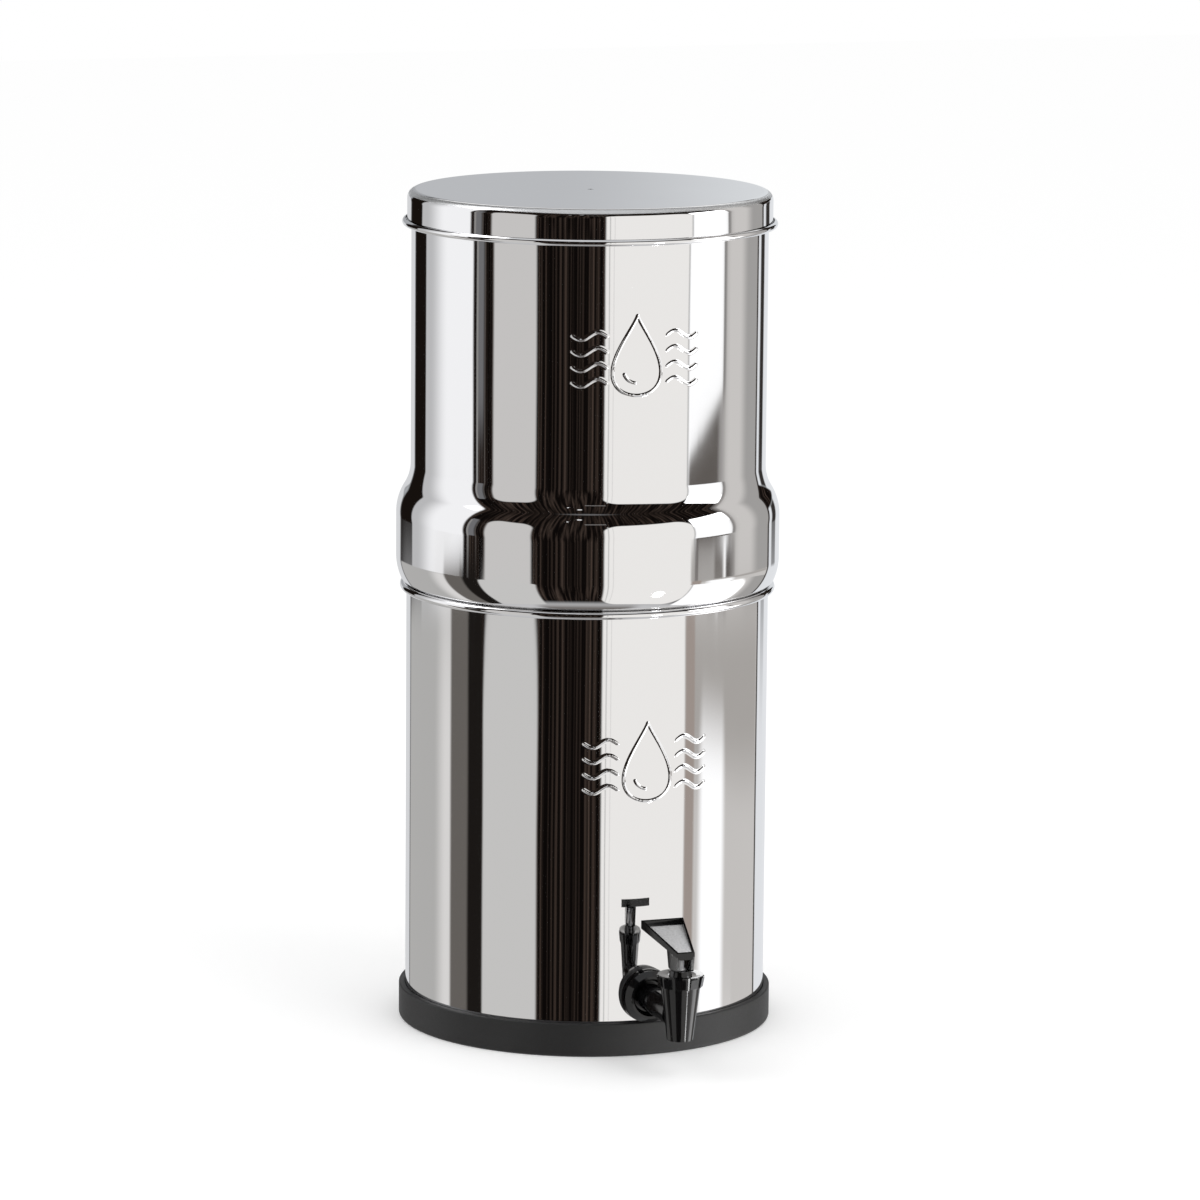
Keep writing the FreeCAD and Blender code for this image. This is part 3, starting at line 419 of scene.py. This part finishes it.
def turnedSteel():
    # ground stainless pin with turning lines round it
    material, tree, bsdf = newMaterial("turnedSteel", "c2c2c3", 0.25, metallic=1.0)
    lines = noise(tree, place3d(tree, (1, 0.05, 0.05)), 0.4 * mm, 2)
    roughen(tree, bsdf, lines, 0.18, 0.34)
    bump(tree, bsdf, lines, 0.004 * mm)
    return material


def carbonBlock():
    # pressed activated carbon: matt, granular, charcoal black
    material, tree, bsdf = newMaterial("carbonBlock", "2b2b2c", 0.85)
    spot = place3d(tree)
    grain = addNode(tree, "ShaderNodeTexVoronoi", {
        "Vector": spot, "Scale": 1 / (1.4 * mm),
    }).outputs["Distance"]
    stain(tree, bsdf, noise(tree, spot, 3 * mm, 4), "222223", "3a3a3b")
    bump(tree, bsdf, grain, 0.25 * mm)
    return material


def polypropylene():
    # moulded off-white polypropylene, satin and slightly soft to light
    material, tree, bsdf = newMaterial("polypropylene", "dcdbd5", 0.36, ior=1.49)
    spot = place3d(tree)
    roughen(tree, bsdf, noise(tree, spot, 2 * mm, 3), 0.3, 0.44)
    bump(tree, bsdf, noise(tree, spot, 1.0 * mm, 2), 0.02 * mm)
    return material


steel, satin, ringRubber = polishedStainless(), satinStainless(), epdmRubber()
gloss, panelPaintedSheen, softRubber = glossAbs(), grainedAbsPaintedSheen(), sealRubber()
greyPlastic, milky, pinSteel = acetal(), clearSilicone(), turnedSteel()
carbon, cream = carbonBlock(), polypropylene()
print("materials made")


# turned sheet-metal shells: an outline from the axis, round the sheet and back to the axis

def arc(middle, radius, start, end, step=6.0):
    # points of an arc in the r-z plane, angles in degrees, both ends included
    count = max(2, int(math.ceil(abs(end - start) / step)) + 1)
    turns = [math.radians(a) for a in np.linspace(start, end, count)]
    return [(middle[0] + radius * math.cos(t), middle[1] + radius * math.sin(t)) for t in turns]


def divided(points, longest, close=0.4):
    # straight runs past the longest get extra rows, with one close to each end that keeps shading flat
    out = [points[0]]
    for a, b in zip(points, points[1:]):
        length = math.dist(a, b)
        if length > longest:
            near = close / length
            shares = [near, *np.linspace(0, 1, int(length / longest) + 2)[1:-1], 1 - near]
            out += [(a[0] + (b[0] - a[0]) * t, a[1] + (b[1] - a[1]) * t) for t in shares]
        out.append(b)
    return out


def lathe(name, outline, angles, push=None):
    # outline in millimetres; push(angles, radius, height) gives a row's embossing in millimetres
    count, verts, faces, first = len(angles), [], [], []
    for r, z in outline:
        first.append(len(verts))
        if r < same:
            verts.append((0, 0, z * mm))
            continue
        lift = push(angles, r, z) if push else np.zeros(count)
        verts += [((r + h) * math.sin(a) * mm, -(r + h) * math.cos(a) * mm, z * mm)
                  for a, h in zip(angles, lift)]
    for row in range(len(outline) - 1):
        low, high = first[row], first[row + 1]
        lowPole, highPole = outline[row][0] < same, outline[row + 1][0] < same
        for i in range(count):
            j = (i + 1) % count
            if lowPole:
                faces.append((low, high + j, high + i))
            elif highPole:
                faces.append((low + i, low + j, high))
            else:
                faces.append((low + i, low + j, high + j, high + i))
    mesh = bpy.data.meshes.new(name)
    mesh.from_pydata(verts, [], faces)
    mesh.update()
    piece = bpy.data.objects.new(name, mesh)
    scene.collection.objects.link(piece)
    return piece


def finishPiece(piece, materials, body, nodes, sharp=35.0):
    # smooth shading with crisp edges past the sharp angle in degrees, then the place in the frame
    mesh = piece.data
    for material in materials:
        mesh.materials.append(material)
    work = bmesh.new()
    work.from_mesh(mesh)
    bmesh.ops.recalc_face_normals(work, faces=work.faces)
    for face in work.faces:
        face.smooth = True
    for edge in work.edges:
        edge.smooth = len(edge.link_faces) == 2 and edge.calc_face_angle(0) < math.radians(sharp)
    work.to_mesh(mesh)
    work.free()
    if isinstance(body, tuple):
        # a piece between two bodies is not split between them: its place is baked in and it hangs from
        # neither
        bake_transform(piece)
    else:
        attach(piece, body)
    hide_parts(*nodes)


def evenAngles(count):
    return np.arange(count) * 2 * math.pi / count


def anglesWith(count, middle, halfWidth, radius, pitch, clear=1.5):
    # even columns, with a dense band where the embossing is; middle in radians, the rest in millimetres
    band = np.arange(-halfWidth, halfWidth + pitch / 2, pitch) / radius + middle
    rest = [a for a in evenAngles(count)
            if abs((a - middle + math.pi) % (2 * math.pi) - math.pi) > (halfWidth + clear) / radius]
    return np.array(sorted([a % (2 * math.pi) for a in band] + rest))


def rowsWith(outline, radius, low, high, pitch):
    # the wall at this radius gets dense rows between two heights
    out = []
    for a, b in zip(outline, outline[1:]):
        out.append(a)
        if abs(a[0] - radius) < same and abs(b[0] - radius) < same:
            bottom, top = max(min(a[1], b[1]), low), min(max(a[1], b[1]), high)
            levels = np.arange(bottom + pitch / 2, top - pitch / 4, pitch)
            out += [(radius, z) for z in (levels if b[1] > a[1] else levels[::-1])]
    out.append(outline[-1])
    return out


# embossed badge: a drop between ripples, a plain water sign

badge = {
    "ridge": 0.62, "halfRidge": 1.1, "pitch": 0.42,      # millimetres
    "dropHeight": 44.0, "dropWidth": 27.0, "dropPoints": 160, "dropTaper": 0.75, "dropShare": 1.18,
    "glint": 7.5, "glintFrom": 200, "glintTo": 262, "glintPoints": 30, "glintLow": 0.35,
    "ripples": 4, "rippleSpacing": 8.6, "rippleLength": 19.0, "rippleRise": 2.2, "rippleGap": 3.6,
    "rippleLow": 2.0, "rippleStep": 0.25,
    "halfWidth": 38.0, "halfHeight": 24.0,
}


def badgeStrokes(b):
    # points along every stroke, in millimetres from the badge's middle
    half, radius = b["dropHeight"] / 2, b["dropWidth"] / 2
    t = np.linspace(-math.pi / 2, math.pi / 2, b["dropPoints"])
    bulge = radius * np.cos(t) * (1 - np.sin(t)) ** b["dropTaper"] / b["dropShare"]
    rise = half * np.sin(t)
    strokes = [np.column_stack((bulge, rise)), np.column_stack((-bulge, rise))]
    a = np.radians(np.linspace(b["glintFrom"], b["glintTo"], b["glintPoints"]))
    glint = (b["glint"] * np.cos(a), -half * b["glintLow"] + b["glint"] * np.sin(a))
    strokes.append(np.column_stack(glint))
    x = np.arange(0, b["rippleLength"], b["rippleStep"])
    for n in range(b["ripples"]):
        level = (n - (b["ripples"] - 1) / 2) * b["rippleSpacing"] - b["rippleLow"]
        wave = level + b["rippleRise"] * np.sin(x / b["rippleLength"] * 2 * math.pi)
        start = radius + b["rippleGap"]
        strokes.append(np.column_stack((start + x, wave)))
        strokes.append(np.column_stack((-start - x, wave)))
    return np.concatenate(strokes)


strokePoints = badgeStrokes(badge)


def badgePush(b, middle, height, radius):
    def push(angles, r, z):
        lift = np.zeros(len(angles))
        if abs(r - radius) > same or abs(z - height) > b["halfHeight"]:
            return lift
        across = ((angles - middle + math.pi) % (2 * math.pi) - math.pi) * radius
        inside = np.flatnonzero(np.abs(across) < b["halfWidth"])
        aside = across[inside, None] - strokePoints[None, :, 0]
        above = z - height - strokePoints[None, :, 1]
        away = np.hypot(aside, above).min(1)
        share = np.clip(1 - away / b["halfRidge"], 0, 1)
        lift[inside] = b["ridge"] * share * share * (3 - 2 * share)
        return lift
    return push


# round holes, insides and seams

def wallSkin(radius, slack=0.2):
    # the front of an upright wall: lays a point on it, and tells its faces by their middles
    def lay(spot):
        return Vector((spot.x, -math.sqrt((radius * mm) ** 2 - spot.x ** 2), spot.z))

    def belongs(spot):
        return spot.y < 0 and abs(spot.xy.length - radius * mm) < slack * mm
    return lay, belongs


def levelSkin(level, slack=0.1):
    # the same for a level floor
    def lay(spot):
        return Vector((spot.x, spot.y, level * mm))

    def belongs(spot):
        return abs(spot.z - level * mm) < slack * mm
    return lay, belongs


def punch(piece, middle, across, up, radius, clear, skins, sides=64):
    # a round hole through two skins: faces nearer than clear go, and the gap is filled again
    # round the hole. across and up span its plane; lengths in millimetres, middle in metres
    work = bmesh.new()
    work.from_mesh(piece.data)
    through = across.cross(up)
    rims = []
    for lay, belongs in skins:
        near = set()
        for face in work.faces:
            spot = face.calc_center_median()
            if (spot - middle).cross(through).length < clear * mm and belongs(spot):
                near.add(face)
        border = [e for e in {e for f in near for e in f.edges} if not near.issuperset(e.link_faces)]
        bmesh.ops.delete(work, geom=list(near), context="FACES")
        rim = []
        for t in evenAngles(sides):
            spot = middle + (across * math.cos(t) + up * math.sin(t)) * radius * mm
            rim.append(work.verts.new(lay(spot)))
        loop = [work.edges.new((a, b)) for a, b in zip(rim, rim[1:] + rim[:1])]
        bmesh.ops.triangle_fill(work, use_beauty=True, edges=border + loop, normal=through)
        rims.append(rim)
    outer, inner = rims
    for i in range(sides):
        j = (i + 1) % sides
        work.faces.new((outer[i], outer[j], inner[j], inner[i]))
    work.to_mesh(piece.data)
    work.free()


def paintSecond(piece, chosen):
    # the chosen faces take the second material, the rest the first
    for face in piece.data.polygons:
        face.material_index = 1 if chosen(face) else 0


def mergePoints(piece, reach=1e-6):
    # reach in metres
    work = bmesh.new()
    work.from_mesh(piece.data)
    bmesh.ops.remove_doubles(work, verts=work.verts, dist=reach)
    work.to_mesh(piece.data)
    work.free()


# lower vessel

lower = {
    "radius": 102.1, "wall": 0.8, "underside": 3.0, "footRound": 5.0, "bead": 248.7, "beadRound": 2.25,
    "columns": 300, "run": 12.0, "badgeTurn": 0.0, "badgeHeight": 166.0,
    # radius, height, the faces cleared round the hole, and the denser rows there
    "tapHole": 9.6, "tapHeight": 34.5, "tapClear": 12.4, "tapBand": 14.0, "tapPitch": 2.0,
    # the satin finish: how far past the inner wall and from what rise over the underside
    "insideReach": 0.1, "insideRise": 0.5,
}


def lowerVessel(v):
    outer, inner, low = v["radius"], v["radius"] - v["wall"], v["underside"]
    middle = (inner + v["beadRound"], v["bead"])
    outline = [(0, low), (outer - v["footRound"], low)]
    outline += arc((outer - v["footRound"], low + v["footRound"]), v["footRound"], -90, 0)[1:]
    outline += arc(middle, v["beadRound"] - v["wall"], 180, -90, 15)
    outline += arc(middle, v["beadRound"], -90, 180, 10)
    foot = v["footRound"] - v["wall"]
    outline += arc((inner - foot, low + v["footRound"]), foot, 0, -90)
    outline.append((0, low + v["wall"]))
    outline = rowsWith(divided(outline, v["run"]), outer, v["badgeHeight"] - badge["halfHeight"],
                       v["badgeHeight"] + badge["halfHeight"], badge["pitch"])
    tapLow, tapHigh = v["tapHeight"] - v["tapBand"], v["tapHeight"] + v["tapBand"]
    for r in (outer, inner):
        outline = rowsWith(outline, r, tapLow, tapHigh, v["tapPitch"])
    turn = math.radians(v["badgeTurn"])
    angles = anglesWith(v["columns"], turn, badge["halfWidth"], outer, badge["pitch"])
    emboss = badgePush(badge, turn, v["badgeHeight"], outer)
    piece = lathe("lower_vessel_shell", outline, angles, emboss)
    hole = Vector((0, -outer * mm, v["tapHeight"] * mm))
    skins = [wallSkin(outer), wallSkin(inner)]
    punch(piece, hole, Vector((1, 0, 0)), Vector((0, 0, 1)), v["tapHole"], v["tapClear"], skins)

    def inside(face):
        spot = face.center / mm
        return spot.xy.length < inner + v["insideReach"] and spot.z > low + v["insideRise"]

    paintSecond(piece, inside)
    finishPiece(piece, [steel, satin], "vessel", ["lower_chamber"])


lowerVessel(lower)
print("lower vessel made")


# upper vessel

upper = {
    "wall": 0.8, "floor": 238.0, "plug": 100.8, "plugRound": 3.5, "shelf": 251.25, "shelfRound": 0.7,
    "flare": 108.0, "footRound": 3.0, "lowRound": 31.5, "flareLow": 266.0, "flareHigh": 290.0,
    "shoulder": 28.2, "share": 0.47,                      # height, and the hollow round's share of the bend
    "radius": 99.9, "rim": 469.66, "hemGap": 0.05, "hemDepth": 4.0,
    "columns": 300, "run": 12.0, "badgeTurn": -4.2, "badgeHeight": 392.0,
    "portCircle": 50.0, "portHole": 6.25, "portClear": 14.0, "insideReach": 0.2,
}


def upperVessel(v):
    wall, shelf, flare, radius = v["wall"], v["shelf"], v["flare"], v["radius"]
    # the flare's low round meets the foot's small one where both lean the same way
    between = v["lowRound"] - v["footRound"]
    lean = math.degrees(math.asin((v["flareLow"] - v["footRound"] - shelf) / between))
    footX = flare - v["lowRound"] + between * math.cos(math.radians(lean))
    step = flare - radius
    bend = (v["shoulder"] ** 2 + step ** 2) / (2 * step)
    swing = math.degrees(math.asin(v["shoulder"] / bend))
    top = v["flareHigh"] + v["shoulder"]
    hem = wall + v["hemGap"]

    def skin(inset):
        # the outer face for inset 0, the inner one for inset wall
        points = [(0, v["floor"] + inset)]
        low, high = v["plugRound"], v["shelfRound"]
        points += arc((v["plug"] - low, v["floor"] + low), low - inset, -90, 0)
        points += arc((v["plug"] + high, shelf - high), high + inset, 180, 90, 15)
        points += arc((footX, shelf + v["footRound"]), v["footRound"] - inset, -90, -lean, 5)
        points += arc((flare - v["lowRound"], v["flareLow"]), v["lowRound"] - inset, -lean, 0, 1.5)[1:]
        big, small = bend * (1 - v["share"]) - inset, bend * v["share"] + inset
        points += arc((flare - bend * (1 - v["share"]), v["flareHigh"]), big, 0, swing, 1.5)
        points += arc((radius + bend * v["share"], top), small, 180 + swing, 180, 1.5)[1:]
        return points

    middle, hemLow = (radius - wall + hem, v["rim"] - hem), v["rim"] - hem - v["hemDepth"]
    outline = skin(0)
    outline += arc(middle, v["hemGap"], 180, 0, 45)
    outline += [(middle[0] + v["hemGap"], hemLow), (middle[0] + hem, hemLow)]
    outline += arc(middle, hem, 0, 180, 10)
    outline += skin(wall)[::-1]
    outline = rowsWith(divided(outline, v["run"]), radius, v["badgeHeight"] - badge["halfHeight"],
                       v["badgeHeight"] + badge["halfHeight"], badge["pitch"])
    turn = math.radians(v["badgeTurn"])
    angles = anglesWith(v["columns"], turn, badge["halfWidth"], radius, badge["pitch"])
    emboss = badgePush(badge, turn, v["badgeHeight"], radius)
    piece = lathe("upper_vessel_shell", outline, angles, emboss)
    skins = [levelSkin(v["floor"]), levelSkin(v["floor"] + wall)]
    for a in evenAngles(4):
        port = Vector((v["portCircle"] * math.cos(a), v["portCircle"] * math.sin(a), v["floor"])) * mm
        punch(piece, port, Vector((1, 0, 0)), Vector((0, 1, 0)), v["portHole"], v["portClear"], skins)

    heights, reaches = zip(*sorted((z, r) for r, z in skin(wall)[2:]))

    def inside(face):
        spot = face.center / mm
        return (spot.z > v["floor"] + wall / 2
                and spot.xy.length < np.interp(spot.z, heights, reaches) + v["insideReach"])

    paintSecond(piece, inside)
    finishPiece(piece, [steel, satin], "upper_vessel", ["upper_chamber"])


upperVessel(upper)
print("upper vessel made")


# lid

lidSizes = {
    "radius": 102.3, "wall": 0.8, "round": 5.0, "top": 472.3, "depth": 18.1, "beadRound": 1.8,
    "hole": 1.6, "columns": 360, "run": 14.0, "insideReach": 0.1,
}


def lidShell(v):
    outer, inner, top, corner = v["radius"], v["radius"] - v["wall"], v["top"], v["round"]
    under = top - v["wall"]
    middle = (inner + v["beadRound"], top - v["depth"])
    outline = [(v["hole"], under), (v["hole"], top)]
    outline += arc((outer - corner, top - corner), corner, 90, 0, 4)
    outline += arc(middle, v["beadRound"] - v["wall"], 180, 450, 15)
    outline += arc(middle, v["beadRound"], 90, -180, 10)
    outline += arc((inner - corner + v["wall"], under - corner + v["wall"]), corner - v["wall"], 0, 90)
    outline = divided(outline, v["run"])
    outline.append(outline[0])
    piece = lathe("lid_shell", outline, evenAngles(v["columns"]))
    mergePoints(piece)

    def inside(face):
        spot = face.center / mm
        return spot.xy.length < inner + v["insideReach"] and spot.z < top - v["wall"] / 2

    paintSecond(piece, inside)
    finishPiece(piece, [steel, satin], "lid", ["lid"])


lidShell(lidSizes)
print("lid made")


# rubber ring

ringSizes = {
    "outer": 105.7, "height": 18.9, "seat": 102.35, "lip": 3.0, "inner": 86.1,
    "footRound": 1.8, "topRound": 0.8, "seatRound": 0.5, "columns": 240, "run": 4.0,
}


def rubberRing(v):
    outline = [(v["inner"], v["lip"]), (v["inner"], 0)]
    foot, top, seat = v["footRound"], v["topRound"], v["seatRound"]
    outline += arc((v["outer"] - foot, foot), foot, -90, 0, 10)
    outline += arc((v["outer"] - top, v["height"] - top), top, 0, 90, 15)
    outline += arc((v["seat"] + seat, v["height"] - seat), seat, 90, 180, 15)
    outline.append((v["seat"], v["lip"]))
    outline = divided(outline, v["run"])
    outline.append(outline[0])
    piece = lathe("base_ring", outline, evenAngles(v["columns"]))
    mergePoints(piece)
    finishPiece(piece, [ringRubber], "vessel", ["rubber_base"])


rubberRing(ringSizes)
print("base ring made")


# moulded and turned small pieces: the CAD shape with its edges eased as a mould or a lathe leaves them

easing = {
    "merge": 2e-6, "flat": 0.5,             # metres; degrees under which two faces are one
    "sharp": 30.0, "segments": 3, "weight": 100,
}


def eased(node, name, materials, body, width, pick=None):
    # width of the rounded edges in millimetres; pick(face) gives a face the second material
    mesh = bpy.data.meshes.new(name)
    work = bmesh.new()
    work.from_mesh(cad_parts[node].data)
    bmesh.ops.remove_doubles(work, verts=work.verts, dist=easing["merge"])
    flat, sharp = math.radians(easing["flat"]), math.radians(easing["sharp"])
    bmesh.ops.dissolve_limit(work, angle_limit=flat, verts=work.verts, edges=work.edges)
    edges = [e for e in work.edges if len(e.link_faces) == 2 and e.calc_face_angle(0) > sharp]
    bmesh.ops.bevel(work, geom=edges, offset=width * mm, offset_type="OFFSET", affect="EDGES",
                    segments=easing["segments"], profile=0.5, clamp_overlap=True)
    work.to_mesh(mesh)
    work.free()
    piece = bpy.data.objects.new(name, mesh)
    scene.collection.objects.link(piece)
    mergePoints(piece)
    if pick:
        paintSecond(piece, pick)
    finishPiece(piece, materials, body, [node])
    flatten = piece.modifiers.new("flatFaces", "WEIGHTED_NORMAL")
    flatten.keep_sharp = True
    flatten.weight = easing["weight"]


# node, name, material, body, slot, width of the eased edges
smallPieces = [
    ("tap_body", "tap_moulding", gloss, "vessel", "tap_plastic", 0.35),
    ("tap_bonnet", "tap_bonnet_cap", gloss, "vessel", "tap_plastic", 0.3),
    ("tap_outer_seal", "tap_washer_outer", softRubber, "vessel", "seal_rubber", 0.3),
    ("tap_inner_seal", "tap_washer_inner", softRubber, "vessel", "seal_rubber", 0.3),
    ("tap_nut", "tap_hex_nut", gloss, "vessel", "tap_plastic", 0.4),
    ("tap_stem", "valve_stem", greyPlastic, "tap_valve", "stem_plastic", 0.2),
    ("tap_hinge_pin", "hinge_pin", pinSteel, "tap_valve", "pin_steel", 0.15),
    ("tap_seat_cup", "seat_cup", milky, ("vessel", "tap_valve"), "seat_silicone", 0.2),
]
for side in ("right", "left"):
    smallPieces += [
        (f"filter_element_{side}", f"carbon_element_{side}", carbon, "upper_vessel", "filter_carbon", 0.5),
        (f"filter_base_{side}", f"element_base_{side}", cream, "upper_vessel", "filter_plastic", 0.3),
        (f"filter_seal_{side}", f"element_seal_{side}", softRubber, "upper_vessel", "seal_rubber", 0.3),
        (f"filter_wing_nut_{side}", f"wing_nut_{side}", cream, "upper_vessel", "filter_plastic", 0.5),
    ]
for side in ("rear", "front"):
    smallPieces += [
        (f"blanking_plug_{side}", f"blanking_stopper_{side}", cream, "upper_vessel", "filter_plastic", 0.4),
        (f"plug_seal_{side}", f"stopper_seal_{side}", softRubber, "upper_vessel", "seal_rubber", 0.3),
        (f"plug_nut_{side}", f"stopper_nut_{side}", cream, "upper_vessel", "filter_plastic", 0.4),
    ]
for node, name, material, body, slot, width in smallPieces:
    eased(node, name, [material], body, width)
print("small pieces made")


# lever

lever = {
    "easing": 0.3,
    "rimFront": 0.51, "rimRise": 0.49,      # rim height at the blade's front and rise to its back, in shares
    "flat": 0.9, "panelArea": 60.0, "panelSink": 1.2,   # least upward normal, mm2 and mm
}


def leverPiece(v):
    # the sunk panel's floor, below the rim all round it, takes the grained ABS whose light grey is painted
    # sheen
    low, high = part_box("tap_lever")
    span = high - low

    def paintedSheenFace(face):
        share = (face.center.y - low.y) / span.y
        rimHeight = low.z + (v["rimFront"] + v["rimRise"] * share) * span.z
        return (face.normal.z > v["flat"] and face.area > v["panelArea"] * mm * mm
                and face.center.z < rimHeight - v["panelSink"] * mm)

    eased("tap_lever", "tap_lever_blade", [gloss, panelPaintedSheen], "tap_lever", v["easing"],
          pick=paintedSheenFace)


leverPiece(lever)
print("lever made")
